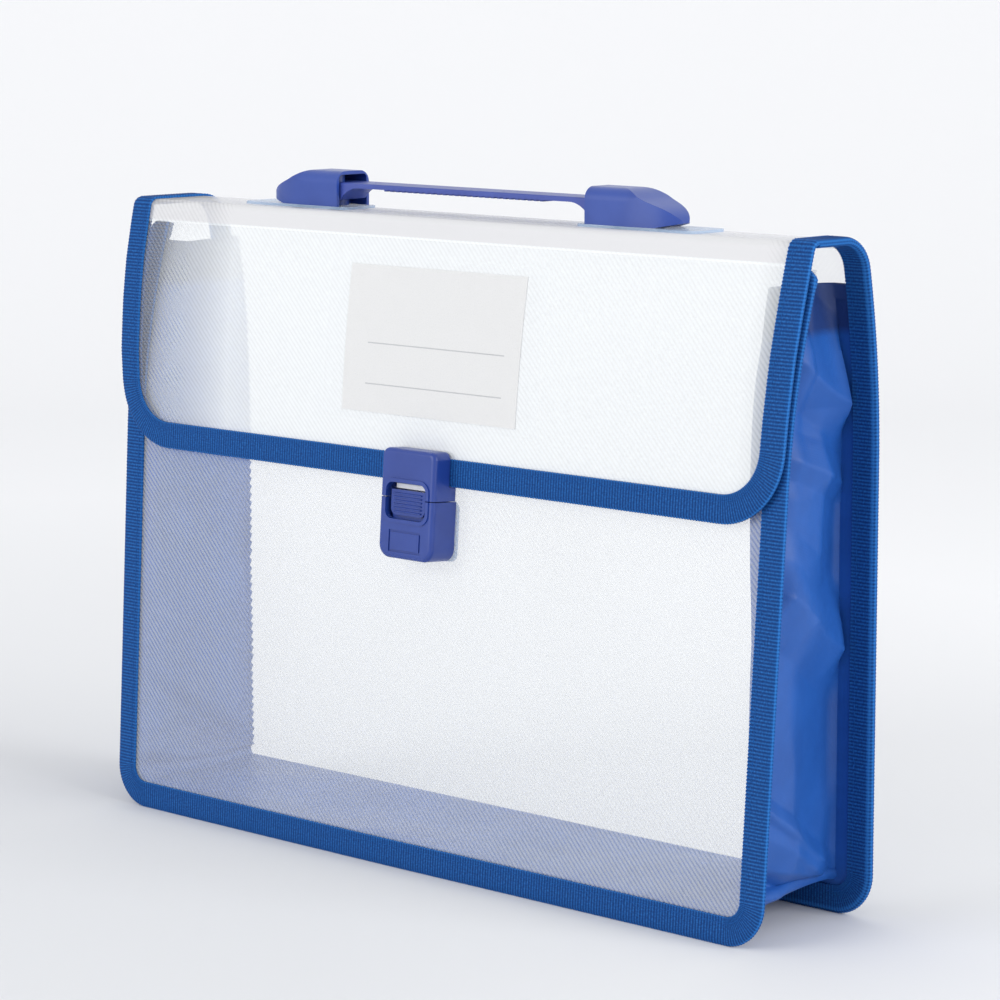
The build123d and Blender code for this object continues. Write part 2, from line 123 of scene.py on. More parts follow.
COVER_LENGTH = reach(COVER, FLAP_FOOT_Z, NOSE_TO, NOSE_TO + 0.2)

# Each: height, then how far the cover's left and right edge have warped towards the back there
COVER_WARP = [
    (0.150, 0.0, 0.0),
    (0.165, -0.0010, 0.0002),
    (0.180, -0.0030, 0.0008),
    (0.200, -0.0040, 0.0020),
    (0.215, -0.0042, 0.0036),
    (0.230, -0.0036, 0.0052),
    (0.240, -0.0030, 0.0064),
]
WARP_CURVE = 1.4
# The cover's warp starts this far behind the middle and is whole after this run towards the front
WARP_FROM_Y = 0.018
WARP_RUN = 0.024


def eased(t):
    """A step from 0 to 1 with soft ends."""
    t = max(0.0, min(1.0, t))
    return t * t * (3 - 2 * t)


def warp_at(table, x, z):
    """How far an edge's warp carries a point that lies in from it, towards the back."""
    z = max(table[0][0], min(table[-1][0], z))
    for (low, *before), (high, *after) in zip(table, table[1:]):
        if z <= high:
            part = (z - low) / (high - low)
            left, right = (a + (b - a) * part for a, b in zip(before, after))
            return (left if x < 0 else right) * (abs(x) / HALF) ** WARP_CURVE


def warp_cover(x, y, z):
    """How far the used cover has warped out of its plain shape: the flap and the band, not the back."""
    return warp_at(COVER_WARP, x, z) * eased((WARP_FROM_Y - y) / WARP_RUN)


def lay(bm, line, warp):
    """Folds a flat piece along a side view, and warps it with its sheet."""
    for vert in bm.verts:
        x, s, n = vert.co
        y, z = fold(line, s, n)
        vert.co = (x, y + warp(x, y, z), z)


def keep_flat_place(bm):
    """Keeps each point's place on the flat piece as its map, in metres."""
    flat = bm.loops.layers.uv.new("flat")
    for face in bm.faces:
        for loop in face.loops:
            loop[flat].uv = (loop.vert.co.x, loop.vert.co.y)


def piece(name, bm, material):
    """Turns a bmesh's faces outward, makes its rims crisp, and makes it a piece with one finish."""
    crisp = radians(50)
    bm.normal_update()
    bmesh.ops.recalc_face_normals(bm, faces=bm.faces)
    for edge in bm.edges:
        edge.smooth = edge.calc_face_angle(0) < crisp
    mesh = bpy.data.meshes.new(name)
    bm.to_mesh(mesh)
    bm.free()
    mesh.materials.append(material)
    mesh.polygons.foreach_set("use_smooth", [True] * len(mesh.polygons))
    made = bpy.data.objects.new(name, mesh)
    bpy.context.scene.collection.objects.link(made)
    return made


def steps(low, high, pitch):
    """Evenly spaced places from one end up to but not including the other."""
    count = max(1, round((high - low) / pitch))
    return [low + (high - low) * i / count for i in range(count)]


def plate(across, along, out, rows, corner=0.0, corner_end=0):
    """A flat plate, with two round corners at one end, cut into rows and columns that let it bend."""
    bm = bmesh.new()
    bmesh.ops.create_grid(bm, x_segments=1, y_segments=1, size=0.5)
    for vert in bm.verts:
        vert.co = (across[vert.co.x > 0], along[vert.co.y > 0], out[0])
    if corner:
        tips = [v for v in bm.verts if abs(v.co.y - along[corner_end]) < 1e-6]
        rounding = {"offset": corner, "segments": 10, "profile": 0.5}
        bmesh.ops.bevel(bm, geom=tips, affect="VERTICES", material=-1, **rounding)
    cuts = [(1, row) for row in rows if along[0] < row < along[1]]
    cuts += [(0, column) for column in steps(across[0], across[1], pitch=0.006)[1:]]
    for axis, place in cuts:
        normal = Vector((axis == 0, axis == 1, 0))
        everything = bm.verts[:] + bm.edges[:] + bm.faces[:]
        bmesh.ops.bisect_plane(bm, geom=everything, plane_co=normal * place, plane_no=normal, dist=1e-6)
    raised = bmesh.ops.extrude_face_region(bm, geom=bm.faces[:])
    lifted = [g for g in raised["geom"] if isinstance(g, bmesh.types.BMVert)]
    bmesh.ops.translate(bm, verts=lifted, vec=(0, 0, out[1] - out[0]))
    outer = bm.faces.layers.float.new("outer")
    for face in bm.faces:
        face[outer] = float(min(v.co.z for v in face.verts) > sum(out) / 2)
    return bm


def finish_named(name, **values):
    """A new finish on the Principled shader, with its constant values set."""
    material = bpy.data.materials.new(name)
    material.use_nodes = True
    shader = material.node_tree.nodes["Principled BSDF"]
    for key, value in values.items():
        shader.inputs[key.replace("_", " ")].default_value = value
    return material, material.node_tree, shader


def feed(tree, socket, value):
    """Gives a shader's input a value, or joins it to another node's output."""
    if isinstance(value, bpy.types.NodeSocket):
        tree.links.new(value, socket)
    else:
        socket.default_value = value


def add_node(tree, kind, settings=(), **inputs):
    """A shader node with its settings and its inputs, each a value or another node's output."""
    made = tree.nodes.new(kind)
    for key, value in dict(settings).items():
        setattr(made, key, value)
    for key, value in inputs.items():
        feed(tree, made.inputs[key.replace("_", " ")], value)
    return made


def reckon(tree, operation, *terms, clamp=False):
    """The result of one sum in a shader, on values and on other nodes' outputs."""
    made = add_node(tree, "ShaderNodeMath", {"operation": operation, "use_clamp": clamp})
    for socket, term in zip(made.inputs, terms):
        feed(tree, socket, term)
    return made.outputs["Value"]


def ranged(tree, value, **ends):
    """A shader value carried from one range to another."""
    return add_node(tree, "ShaderNodeMapRange", Value=value, **ends).outputs["Result"]


def tinted(tree, share, first, second):
    """A colour between two others."""
    made = add_node(tree, "ShaderNodeMix", {"data_type": "RGBA"})
    for socket, value in zip((0, 6, 7), (share, first, second)):
        feed(tree, made.inputs[socket], value)
    return made.outputs[2]


def own_map(tree, layer):
    """A place on a piece's own flat map, for patterns to follow."""
    return add_node(tree, "ShaderNodeUVMap", {"uv_map": layer}).outputs["UV"]


def part_of(tree, place, axis):
    """How far a place lies along one axis."""
    return add_node(tree, "ShaderNodeSeparateXYZ", Vector=place).outputs[axis]


def bump_from(tree, shader, height, strength, distance):
    """Raises a shader's surface by a height."""
    bump = add_node(tree, "ShaderNodeBump", Height=height, Strength=strength, Distance=distance)
    feed(tree, shader.inputs["Normal"], bump.outputs["Normal"])


FOG_LEFT = (-0.158, -0.106)
FOG_RIGHT = (0.164, 0.144)
INNER_ALPHA = 0.06


def frosted(name, slant, opacity, relief, tone, fog=0.0, band=None, wear_and_band_shade=0.9):
    """Frosted sheet, milky and see-through. Slanting ribs are rolled into its outer face, fog veils what lies
    deep behind it, in from the sides, and between its scores it is painted greyer and made denser: painted
    shade for the band, which faces up, away from the soft boxes."""
    clean = (0.98 * tone, 1.01 * tone, 1.02 * tone, 1)
    material, tree, shader = finish_named(name, Base_Color=clean, Roughness=0.45, IOR=1.42)
    place = own_map(tree, "flat")
    turned = add_node(tree, "ShaderNodeMapping", Vector=place, Rotation=(0, 0, radians(-45 * slant)))
    ribs = add_node(
        tree,
        "ShaderNodeTexWave",
        Vector=turned.outputs["Vector"],
        Scale=196.0,
        Distortion=0.5,
        Detail=1.0,
        Detail_Scale=3.0,
    ).outputs["Fac"]
    bump_from(tree, shader, ribs, 0.03, 0.0002)
    haze = add_node(tree, "ShaderNodeTexNoise", Vector=place, Scale=14.0, Detail=3.0)
    broad = reckon(tree, "POWER", ribs, 0.6)
    drift = reckon(tree, "MULTIPLY_ADD", haze.outputs["Fac"], 0.25, broad)
    ribbed = ranged(tree, drift, From_Max=1.25, To_Min=opacity - relief, To_Max=opacity + relief)
    x = part_of(tree, place, "X")
    from_left = ranged(tree, x, From_Min=FOG_LEFT[0], From_Max=FOG_LEFT[1])
    from_right = ranged(tree, x, From_Min=FOG_RIGHT[0], From_Max=FOG_RIGHT[1])
    deep = reckon(tree, "MULTIPLY", reckon(tree, "POWER", from_left, 1.8), from_right)
    fogged = reckon(tree, "MULTIPLY_ADD", deep, fog, ribbed)
    outer = add_node(tree, "ShaderNodeAttribute", {"attribute_name": "outer"})
    veil = add_node(tree, "ShaderNodeMix", {"data_type": "FLOAT"})
    for socket, value in zip((0, 2, 3), (outer.outputs["Fac"], INNER_ALPHA, fogged)):
        feed(tree, veil.inputs[socket], value)
    alpha = veil.outputs[0]
    if band:
        y = part_of(tree, place, "Y")
        # Painted shade: between the scores the sheet is tinted grey and made denser, for the band that faces
        # up.
        shaded_band = reckon(tree, "COMPARE", y, sum(band) / 2, (band[1] - band[0]) / 2)
        score = reckon(tree, "COMPARE", y, band[1] + 0.0004, 0.0004)
        tint = tinted(tree, shaded_band, clean, (wear_and_band_shade, wear_and_band_shade, 1.02 * wear_and_band_shade, 1))
        feed(tree, shader.inputs["Base Color"], tint)
        denser = reckon(tree, "MULTIPLY_ADD", shaded_band, 0.36, alpha)
        alpha = reckon(tree, "MULTIPLY_ADD", score, 0.22, denser, clamp=True)
    feed(tree, shader.inputs["Alpha"], alpha)
    return material


INSIDE_TAPE = (TAPE_PLY - HALF, HALF - TAPE_PLY)
SHEET_FACES = (-SHEET_PLY, 0)
back_scores = (CREASE_FROM + 0.008, CUT)
back_finish = frosted(
    "frosted_back", slant=-1, opacity=0.12, relief=0.015, tone=0.94, band=back_scores, wear_and_band_shade=0.88
)
rows = steps(0, CREASE_FROM, pitch=0.012)
rows += steps(CREASE_FROM, CREASE_TO, pitch=0.0012)
rows += steps(CREASE_TO, CUT, pitch=0.007)
bm = plate(INSIDE_TAPE, (TAPE_PLY, CUT), SHEET_FACES, rows, corner=FOOT_CORNER - TAPE_PLY)
keep_flat_place(bm)
lay(bm, COVER, warp_cover)
cover_back = piece("cover_back", bm, back_finish)
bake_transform(cover_back)
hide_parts("back_panel", "top_band")

nose_scores = (CUT, NOSE_TO + 0.005)
# Painted shade: the flap gets a lower tone than the back of the same sheet, to keep it no brighter than the
# wall.
flap_finish = frosted(
    "frosted_flap", slant=-1, opacity=0.13, relief=0.08, tone=0.86, fog=0.60, band=nose_scores, wear_and_band_shade=0.70
)
rows = steps(CUT, NOSE_TO + 0.001, pitch=0.0006)
rows += steps(NOSE_TO + 0.001, COVER_LENGTH, pitch=0.009)
flap_run = (CUT + CUT_GAP, COVER_LENGTH - TAPE_PLY)
bm = plate(INSIDE_TAPE, flap_run, SHEET_FACES, rows, corner=FLAP_CORNER - TAPE_PLY, corner_end=1)
keep_flat_place(bm)
lay(bm, COVER, warp_cover)
cover_flap = piece("cover_flap", bm, flap_finish)
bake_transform(cover_flap)
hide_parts("flap")

# Front panel: a second frosted sheet. It leans back from the floor and bows towards the back at the mouth,
# where its upper edge is left free and its corners are rounded off by the tape's ends.
LEAN = radians(4.2)
FRONT_BOW = 0.340
FRONT = {
    "foot": (-0.029348, 0.0, 175.8),
    "way": -1,
    "runs": [(0.150 / cos(LEAN), None), (FRONT_BOW * radians(13.594), FRONT_BOW), (0.0, None)],
}
FRONT_LENGTH = sum(length for length, radius in FRONT["runs"])

# Each: height, then how far the front panel's left and right edge have warped towards the back there
FRONT_WARP = [
    (0.0, 0.0020, 0.0),
    (0.031, 0.0014, 0.0),
    (0.096, 0.0, 0.0),
    (0.150, -0.0012, 0.0),
    (0.180, -0.0018, -0.0003),
    (0.230, -0.0022, 0.0),
]


def warp_front(x, y, z):
    """How far the front panel has warped out of its plain shape, towards the back."""
    return warp_at(FRONT_WARP, x, z)


front_finish = frosted("frosted_front", slant=1, opacity=0.25, relief=0.085, tone=0.91)
rows = steps(0, FRONT_LENGTH, pitch=0.010)
bm = plate(INSIDE_TAPE, (TAPE_PLY, FRONT_LENGTH), SHEET_FACES, rows, corner=FOOT_CORNER - TAPE_PLY)
keep_flat_place(bm)
lay(bm, FRONT, warp_front)
front_sheet = piece("front_sheet", bm, front_finish)
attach(front_sheet, "front")
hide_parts("front_panel")

# Edge tape: blue ribbed tape, 20 mm wide, folded in half over the sheet's edge and sewn through. One length
# goes round the cover and a shorter one round the front panel. Its ribs run across it and its selvages are
# beaded. The cover's length is parted where the flap's crease begins, so that it can open.
TAPE_WIDTH = 0.010
RIB_PITCH = 0.00125
RIB_RISE = 0.00009
RIBBON_ROUND = 0.042
CLOTH_PLY = 0.0005
KNOB_LENGTH = 0.007
KNOB_ROUNDING = 0.0042
# A wave texture's scale, times the pitch of its bands in metres
WAVE = 0.31416
# The three lengths of edge: what the tape wraps, how far up the sides it goes and round which corners, how
# thick a sandwich it closes on, and where its foot lies along the sheet and which way it climbs
BACK_EDGE = {
    "line": COVER,
    "warp": warp_cover,
    "side": CUT - FOOT_CORNER,
    "corner": FOOT_CORNER,
    "under": SHEET_PLY + CLOTH_PLY,
    "foot": 0.0,
    "grow": 1,
}
FLAP_EDGE = {
    "line": COVER,
    "warp": warp_cover,
    "side": COVER_LENGTH - CUT - FLAP_CORNER,
    "corner": FLAP_CORNER,
    "under": SHEET_PLY,
    "foot": COVER_LENGTH,
    "grow": -1,
}
FRONT_EDGE = {
    "line": FRONT,
    "warp": warp_front,
    "side": FRONT_LENGTH - FOOT_CORNER,
    "corner": FOOT_CORNER,
    "under": SHEET_PLY,
    "foot": 0.0,
    "grow": 1,
}


def walk_length(side, corner, half=HALF):
    """Length of an edge that goes down one side, along the foot and up the other."""
    return 2 * side + corner * pi + 2 * half - 2 * corner


def walk(a, side, corner, half=HALF):
    """A place along such an edge, from the left: across and up from the foot, and the way inward."""
    arc = corner * pi / 2
    b = min(a, walk_length(side, corner, half) - a)
    if b < side:
        x, h, inward = -half, corner + side - b, (1, 0)
    elif b < side + arc:
        turn = (b - side) / corner
        x, h = corner - half - corner * cos(turn), corner - corner * sin(turn)
        inward = (cos(turn), sin(turn))
    else:
        x, h, inward = corner - half + b - side - arc, 0, (0, 1)
    if b < a:
        return -x, h, (-inward[0], inward[1])
    return x, h, inward


def tape_section(under):
    """The folded tape cut across, as (in from the edge, out of the face), with how far a rib moves each."""
    middle = -under / 2
    half = [
        (0.0094, 0.00005, 0.0, 0.0),
        (0.01005, 0.00006, 1.0, 0.0),
        (0.0099, 0.0009, 1.0, 1.0),
        (0.0092, 0.00075, 0.0, 0.6),
        (0.0070, TAPE_PLY, 0.0, 1.0),
        (0.0035, TAPE_PLY, 0.0, 1.0),
        (0.0014, TAPE_PLY - 0.00005, 0.0, 1.0),
        (0.0005, 0.0004, -0.6, 0.6),
        (0.0, middle / 2, -1.0, 0.0),
    ]
    inside = [(0.0009, middle, 0.0, 0.0)]
    other = [(e, 2 * middle - n, de, -dn) for e, n, de, dn in reversed(half)]
    return half + other + inside


def tape(name, material, edge, knob=0.0, short=0.0):
    """One length of tape, woven flat as a ribbon and wrapped round an edge. Its ends are knobbed or short."""
    section = tape_section(edge["under"])
    count = len(section)
    side = edge["side"] - short
    total = walk_length(side, edge["corner"])
    rings = 2 * round(total / RIB_PITCH)
    bm = bmesh.new()
    bmesh.ops.create_grid(bm, x_segments=rings, y_segments=count, size=0.5)
    ribbon = bm.loops.layers.uv.new("ribbon")
    for face in bm.faces:
        for loop in face.loops:
            co = loop.vert.co
            loop[ribbon].uv = ((co.x + 0.5) * total, (co.y + 0.5) * RIBBON_ROUND)
    for vert in bm.verts:
        ring = round((vert.co.x + 0.5) * rings)
        a = total * ring / rings
        e, n, rib_in, rib_out = section[round((vert.co.y + 0.5) * count) % count]
        rib = RIB_RISE if ring % 2 else -RIB_RISE
        e += rib_in * rib * 1.3
        n += rib_out * rib
        if knob:
            near = max(0.0, 1 - min(a, total - a) / KNOB_LENGTH)
            n += rib_out * knob * min(1.0, near * 3)
            e += KNOB_ROUNDING * (max(0.0, near - 0.45) / 0.55) ** 2 * max(0.0, 1 - e / 0.005)
        x, h, inward = walk(a, side, edge["corner"])
        vert.co = (x + inward[0] * e, edge["foot"] + edge["grow"] * (h + inward[1] * e), n)
    bmesh.ops.remove_doubles(bm, verts=bm.verts, dist=0.00001)
    bmesh.ops.holes_fill(bm, edges=bm.edges, sides=count)
    lay(bm, edge["line"], edge["warp"])
    made = piece(name, bm, material)
    return made


def ramped(tree, share, *stops):
    """A colour read off a row of stops, each a place from 0 to 1 and a colour."""
    made = add_node(tree, "ShaderNodeValToRGB", Fac=share)
    row = made.color_ramp.elements
    for stop, (position, colour) in zip((row[0], row[1]), (stops[0], stops[-1])):
        stop.position = position
        stop.color = (*colour, 1)
    for position, colour in stops[1:-1]:
        row.new(position).color = (*colour, 1)
    return made.outputs["Color"]


def bands(tree, place, pitch, direction="X", phase=0.0):
    """Even bands a pitch apart."""
    settings = {"bands_direction": direction}
    made = add_node(tree, "ShaderNodeTexWave", settings, Vector=place, Scale=WAVE / pitch, Phase_Offset=phase)
    return made.outputs["Fac"]


def woven_tape():
    """Ribbed woven tape, flecked with lighter yarn, with painted shade between its ribs, beads where it folds
    that are partly relief and partly a painted highlight on the folded edge, and a painted highlight along
    one selvage.
    """
    material, tree, shader = finish_named("ribbed_tape", Roughness=0.75, IOR=1.3)
    place = own_map(tree, "ribbon")
    y = part_of(tree, place, "Y")
    squeeze = add_node(tree, "ShaderNodeMapping", Vector=place, Scale=(900, 2600, 1))
    squeezed = squeeze.outputs["Vector"]
    yarn = add_node(tree, "ShaderNodeTexNoise", Vector=squeezed, Scale=1.0, Detail=3.0, Roughness=0.8)
    # Painted shade: the colour darkens between the ribs.
    ribs = bands(tree, place, RIB_PITCH, phase=pi)
    flecked = reckon(tree, "MULTIPLY_ADD", ribs, 0.30, yarn.outputs["Fac"])
    # The folded edge has beads in relief, and they also lighten its colour: a painted highlight on the edge.
    folded = reckon(tree, "COMPARE", y, 0.0199, 0.0055)
    beads_and_glint = reckon(tree, "MULTIPLY", bands(tree, place, 0.0037, "Y"), folded)
    raised = reckon(tree, "MULTIPLY_ADD", beads_and_glint, 0.30, flecked)
    # Painted highlight: a lighter line along the selvage bead on the outer face.
    selvage_glint = reckon(tree, "COMPARE", y, 0.0030, 0.0020)
    flecks_shade_and_glint = reckon(tree, "MULTIPLY_ADD", selvage_glint, 0.22, raised)
    deep, body, light = (0.002, 0.024, 0.115), (0.003, 0.058, 0.240), (0.020, 0.160, 0.500)
    colour = ramped(tree, flecks_shade_and_glint, (0.34, deep), (0.64, body), (0.95, light))
    feed(tree, shader.inputs["Base Color"], colour)
    bump_from(tree, shader, raised, 0.5, 0.00015)
    return material


tape_finish = woven_tape()
tape_back = tape("tape_back", tape_finish, BACK_EDGE)
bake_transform(tape_back)
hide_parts("back_binding", "top_binding_left", "top_binding_right")
tape_flap = tape("tape_flap", tape_finish, FLAP_EDGE, short=0.0001)
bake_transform(tape_flap)
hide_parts("flap_binding")
tape_front = tape("tape_front", tape_finish, FRONT_EDGE, knob=0.0006)
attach(tape_front, "front")
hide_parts("front_binding")

# Seams: a lockstitch in blue thread runs through the tape, 2 mm from its selvages, all the way round each
# edge. Its stitches lie along the tape and show on both faces.
STITCH_PITCH = 0.0027
STITCH_IN = 0.0078
STITCH_PROUD = 0.00003
STITCH_HALVES = (0.0010, 0.00020, 0.00013)


def seam(name, material, edge):
    """The stitches of one length of tape, on both of its faces."""
    bm = bmesh.new()
    foot, grow = edge["foot"], edge["grow"]
    total = walk_length(edge["side"], edge["corner"])
    up = Vector((0, 0, 1))
    for a in steps(STITCH_PITCH, total, STITCH_PITCH):
        x, h, inward = walk(a, edge["side"], edge["corner"])
        for n in (TAPE_PLY + STITCH_PROUD, -edge["under"] - TAPE_PLY - STITCH_PROUD):
            place = Vector((x + inward[0] * STITCH_IN, foot + grow * (h + inward[1] * STITCH_IN), n))
            along = Vector((-inward[1], grow * inward[0], 0))
            turn = Matrix((along, up.cross(along), up)).transposed().to_4x4()
            placed = Matrix.Translation(place) @ turn @ Matrix.Diagonal((*STITCH_HALVES, 1))
            bmesh.ops.create_icosphere(bm, subdivisions=1, radius=1, matrix=placed)
    lay(bm, edge["line"], edge["warp"])
    return piece(name, bm, material)


thread, tree, shader = finish_named("sewing_thread", Roughness=0.6, IOR=1.3)
place = add_node(tree, "ShaderNodeTexCoord").outputs["Object"]
twist = add_node(tree, "ShaderNodeTexNoise", Vector=place, Scale=2600.0, Detail=1.0)
shade = tinted(tree, twist.outputs["Fac"], (0.002, 0.060, 0.260, 1), (0.006, 0.110, 0.400, 1))
feed(tree, shader.inputs["Base Color"], shade)
seam_back = seam("seam_back", thread, BACK_EDGE)
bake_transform(seam_back)
seam_flap = seam("seam_flap", thread, FLAP_EDGE)
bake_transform(seam_flap)
seam_front = seam("seam_front", thread, FRONT_EDGE)
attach(seam_front, "front")

# Gusset: one strip of thin coated cloth, down the left side, along the bottom and up the right. Its edges
# turn outward and are sewn in with the panels under the tape. It is creased from being folded flat, sinks
# inward in a V near the mouth and is hemmed at both ends.
GUSSET_TOP = 0.222
GUSSET_DEPTH = 0.054
GUSSET_STRIP = {
    "side": GUSSET_TOP - FOOT_CORNER,
    "corner": FOOT_CORNER - TAPE_WIDTH,
    "half": HALF - TAPE_WIDTH,
}
GUSSET_LENGTH = walk_length(**GUSSET_STRIP)
HEM = 0.015
HEM_EDGE = 0.003
TURNED_SHARE = 0.08
TURNED_OUT = 0.004
TUCK = 0.0003
WEAVE_PITCH = 0.0005
# Shares of the cloth's width: what each seam holds flat, where its slack begins, and how far puckers reach
SEAM_HOLD = 0.06
SEAM_EASE = 0.006
PUCKER_REACH = 0.12
PUCKER_PITCH = 0.0033
PUCKER_DEPTH = 0.0018
VALLEY_FROM = 0.150
VALLEY_DEPTH = 0.018
DENT_DEPTH = 0.0020
CREASE_DEPTH = 0.0032
RIPPLE_DEPTH = 0.0012
CLOTH_MAP_WIDTH = 0.075
# Pleats pressed into the cloth of one side: where each ridge runs, as (back to front, height) at both ends,
# then how far it stands out, and how wide its upper and its lower slope are.
PLEATS = [
    ((0.04, 0.180), (0.95, 0.204), 0.0070, 0.030, 0.013),
    ((0.31, 0.130), (0.31, 0.168), 0.0036, 0.016, 0.013),
    ((0.07, 0.095), (0.78, 0.119), 0.0060, 0.022, 0.016),
    ((0.78, 0.119), (1.00, 0.103), 0.0040, 0.014, 0.014),
    ((0.00, 0.152), (0.60, 0.163), 0.0034, 0.010, 0.007),
    ((0.21, 0.022), (0.90, 0.047), 0.0044, 0.006, 0.006),
    ((0.28, 0.019), (1.00, 0.042), 0.0036, 0.004, 0.012),
    ((0.30, 0.012), (1.00, 0.022), -0.0046, 0.005, 0.005),
]
PLEAT_END = 0.012


def pleated(c, z):
    """How far the pleats bring the cloth out at a place on one side."""
    out = 0.0
    for (c0, z0), (c1, z1), height, above, below in PLEATS:
        run = Vector(((c1 - c0) * GUSSET_DEPTH, z1 - z0))
        here = Vector(((c - c0) * GUSSET_DEPTH, z - z0))
        along = here.dot(run) / run.length_squared
        off = (run.x * here.y - run.y * here.x) / run.length
        width = above if off > 0 else below
        end = 1 - max(0.0, -along, along - 1) * run.length / PLEAT_END
        out += height * max(0.0, 1 - abs(off) / width) * max(0.0, min(1.0, end))
    return out


def crumple(x, z, c, inward):
    """How far the cloth stands in from a flat strip: its slack beside both seams, a valley near the mouth,
    the puckers of the left rear seam, pleats, creases and soft dents. c runs from 0 at the rear seam to 1."""
    side = abs(inward[0])
    rise = (z - 0.04) / 0.19
    held = min(1.0, c / SEAM_HOLD, (1 - c) / SEAM_HOLD)
    off_rear = min(1.0, c / SEAM_EASE)
    off_fore = min(1.0, (1 - c) / SEAM_EASE)
    rear = (0.0020 + 0.0034 * side) * off_rear * (1 - eased((c - 0.08) / 0.62))
    fore = (0.0010 + 0.0090 * eased(rise)) * side * off_fore * (1 - eased((0.94 - c) / 0.42))
    high = max(0.0, (z - VALLEY_FROM) / (GUSSET_TOP - VALLEY_FROM))
    valley = min(c, 1 - c) * VALLEY_DEPTH * high * side
    wear_and_band_shade = side if x > 0 else 0.35 * side
    dents = noise.noise(Vector((x * 9 + 4, c * 1.2, z * 20))) * DENT_DEPTH
    creases = abs(noise.noise(Vector((c * 2.0 + 1.3, z * 18, x * 5)))) * CREASE_DEPTH * wear_and_band_shade
    ripple = 0 if side > 0.9 else RIPPLE_DEPTH * noise.noise(Vector((x * 30, c * 2, 7)))
    gather = off_rear * max(0.0, 1 - c / PUCKER_REACH) * side * (x < 0)
    pucker = PUCKER_DEPTH * (z / PUCKER_PITCH % 1) * gather
    return rear + fore + pucker + valley + held * (dents + creases - pleated(c, z) * wear_and_band_shade - ripple)


bm = bmesh.new()
bmesh.ops.create_grid(bm, x_segments=900, y_segments=40, size=0.5)
cloth_map = bm.loops.layers.uv.new("cloth")
for face in bm.faces:
    for loop in face.loops:
        co = loop.vert.co
        loop[cloth_map].uv = ((co.x + 0.5) * GUSSET_LENGTH, (co.y + 0.5) * CLOTH_MAP_WIDTH)
for vert in bm.verts:
    x, h, inward = walk((vert.co.x + 0.5) * GUSSET_LENGTH, **GUSSET_STRIP)
    z = TAPE_WIDTH + h
    c = (vert.co.y + 0.5) * (1 + 2 * TURNED_SHARE) - TURNED_SHARE
    rear_y = fold(COVER, reach(COVER, z, 0, CREASE_TO), -SHEET_PLY - TUCK)[0]
    fore_y = fold(FRONT, reach(FRONT, z, 0, FRONT_LENGTH), -SHEET_PLY - TUCK)[0]
    if 0 <= c <= 1:
        deep = crumple(x, z, c, inward)
        fore_y += warp_front(x + inward[0] * deep, 0, z)
        vert.co = (x + inward[0] * deep, rear_y + (fore_y - rear_y) * c, z + inward[1] * deep)
    else:
        out = max(-c, c - 1) / TURNED_SHARE * TURNED_OUT
        y = rear_y if c < 0 else fore_y + warp_front(x, 0, z)
        vert.co = (x - inward[0] * out, y, z - inward[1] * out)


def coated_cloth():
    """Thin coated cloth: a fine plain weave under a soft shine, painted darker where the hem doubles it:
    painted shade for the light from inside the case that the double ply lets through less.
    """
    material, tree, shader = finish_named(
        "coated_cloth", Roughness=0.46, IOR=1.4, Coat_Weight=0.06, Coat_Roughness=0.3
    )
    place = own_map(tree, "cloth")
    weave = reckon(tree, "MULTIPLY", bands(tree, place, WEAVE_PITCH), bands(tree, place, WEAVE_PITCH, "Y"))
    blotch = add_node(tree, "ShaderNodeTexNoise", Vector=place, Scale=38.0, Detail=4.0, Roughness=0.6)
    deep, light = (0.012, 0.079, 0.330), (0.017, 0.105, 0.415)
    single = ramped(tree, blotch.outputs["Fac"], (0.30, deep), (0.72, light))
    # Painted shade: the colour darkens at both hems.
    off_middle = reckon(tree, "SUBTRACT", part_of(tree, place, "X"), GUSSET_LENGTH / 2)
    from_middle = reckon(tree, "ABSOLUTE", off_middle)
    hem_from = GUSSET_LENGTH / 2 - HEM
    hem_shade = ranged(tree, from_middle, From_Min=hem_from - HEM_EDGE, From_Max=hem_from)
    colour = tinted(tree, hem_shade, single, (0.014, 0.042, 0.175, 1))
    feed(tree, shader.inputs["Base Color"], colour)
    bump_from(tree, shader, weave, 0.35, 0.00008)
    return material


gusset = piece("gusset_cloth", bm, coated_cloth())
wall = gusset.modifiers.new("ply", "SOLIDIFY")
wall.thickness = 0.0004
wall.offset = 0
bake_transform(gusset)
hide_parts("gusset")

# Label: a plain white card with two ruled lines. It is slid from above into a pocket of clear film, which is
# welded to the flap along its sides and foot.
CARD = (0.087, 0.0535)
CARD_LOW = 0.1665
CARD_FACES = (0.00005, 0.00030)
RULE_HEIGHTS = (0.1917, 0.1768)
RULE_MIDDLE = 0.002
RULE_HALF = 0.034
RULE_PLY = 0.00022
label_rows = steps(NOSE_TO, COVER_LENGTH, pitch=0.006)


def on_flap(height):
    """How far along the cover a height on the flap is reached."""
    return reach(COVER, height, NOSE_TO, COVER_LENGTH)


card_run = (on_flap(CARD_LOW + CARD[1]), on_flap(CARD_LOW))
bm = plate((-CARD[0] / 2, CARD[0] / 2), card_run, CARD_FACES, label_rows)
keep_flat_place(bm)
lay(bm, COVER, warp_cover)
card_finish, tree, shader = finish_named("ruled_card", Roughness=0.85)
place = own_map(tree, "flat")
fibre = add_node(tree, "ShaderNodeTexNoise", Vector=place, Scale=1500.0, Detail=3.0).outputs["Fac"]
paper = ramped(tree, fibre, (0.0, (0.69, 0.69, 0.69)), (1.0, (0.76, 0.76, 0.755)))
y = part_of(tree, place, "Y")
upper, lower = (reckon(tree, "COMPARE", y, on_flap(height), RULE_PLY) for height in RULE_HEIGHTS)
within = reckon(tree, "COMPARE", part_of(tree, place, "X"), RULE_MIDDLE, RULE_HALF)
drawn = reckon(tree, "MULTIPLY", reckon(tree, "ADD", upper, lower), within)
